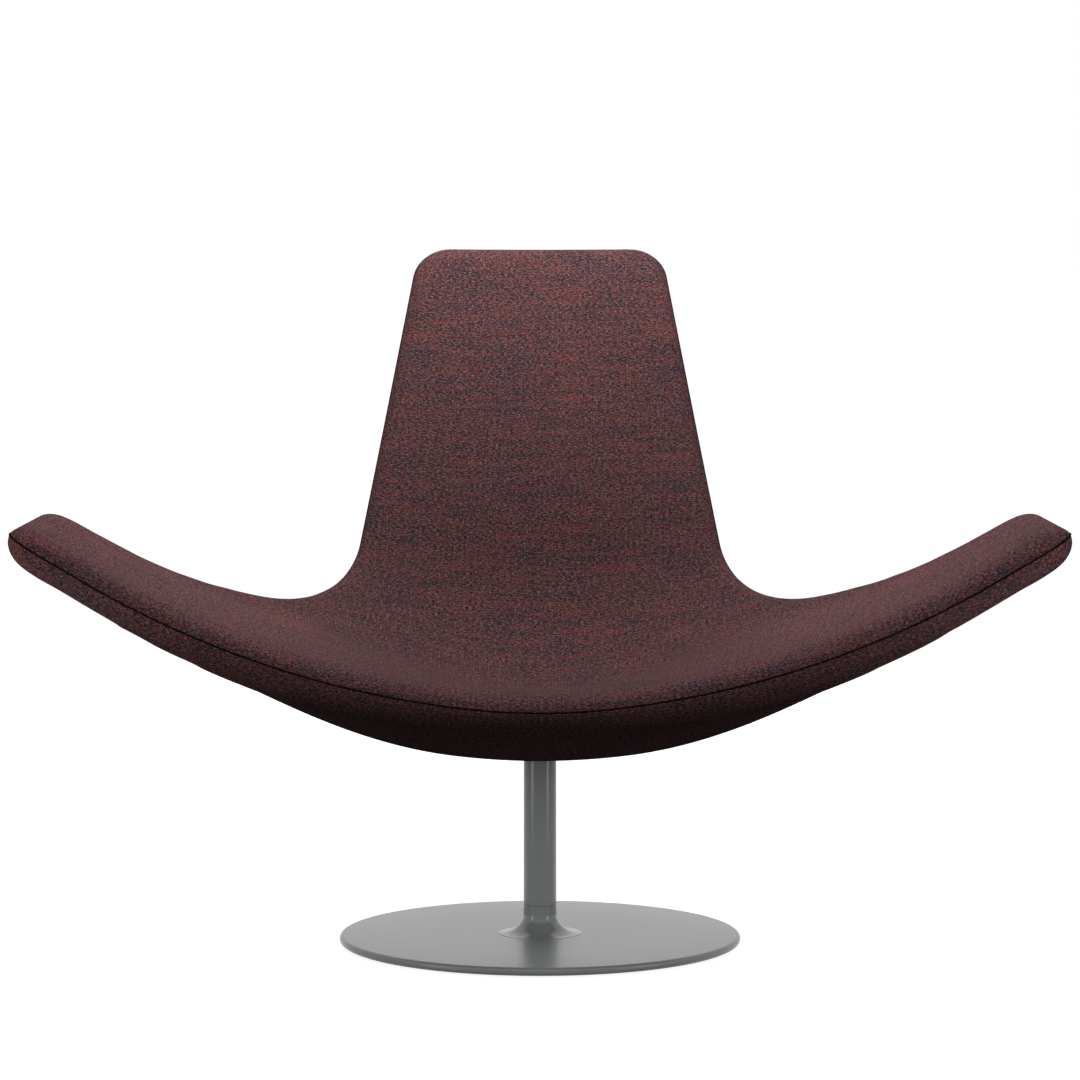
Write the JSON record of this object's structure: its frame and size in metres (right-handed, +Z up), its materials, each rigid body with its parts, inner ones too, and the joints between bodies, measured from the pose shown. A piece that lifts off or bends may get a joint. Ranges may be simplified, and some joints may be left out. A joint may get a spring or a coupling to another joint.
{
  "type": "swivel lounge chair",
  "caption": "Upholstered lounge chair with a one-piece winged shell of seat, arms and back that turns on a slim steel column with a flared foot and a round disc base.",
  "frame": {"origin": "on the floor at the column's axis", "axes": "+Z up along the column, the sitter faces -Y, +X across the wings"},
  "size_m": [1.3678, 0.7742, 0.9367],
  "materials": {
    "base_paint": "satin grey paint",
    "felt": "pressed felt",
    "bright_steel": "zinc plated",
    "bearing_plastic": "moulded",
    "frame_steel": "black primer",
    "webbing": "woven elastic",
    "upholstery": "melange wool weave over moulded foam"
  },
  "bodies": {
    "base": {"base_disc": "base_paint", "base_felt": "felt", "column_foot": "base_paint", "column_bolt": "bright_steel", "column_tube": "base_paint", "bearing_sleeve": "bearing_plastic"},
    "seat": {"spindle": "bright_steel", "spindle_nut": "bright_steel", "plate_screws": "bright_steel", "seat_plate": "frame_steel", "mount_plate": "frame_steel", "front_bar": "frame_steel", "rear_bar_left": "frame_steel", "rear_bar_right": "frame_steel", "tip_bar_left": "frame_steel", "tip_bar_right": "frame_steel", "upright_bar_left": "frame_steel", "upright_bar_right": "frame_steel", "top_bar": "frame_steel", "seat_straps": "webbing", "back_straps": "webbing", "wing_straps": "webbing", "shell_pad": "upholstery"}
  },
  "joints": [
    {"name": "seat_swivel", "type": "hinge", "parent": "base", "child": "seat", "pos_m": [0, 0, 0.283], "axis": [0, 0, 1], "continuous": true}
  ]
}
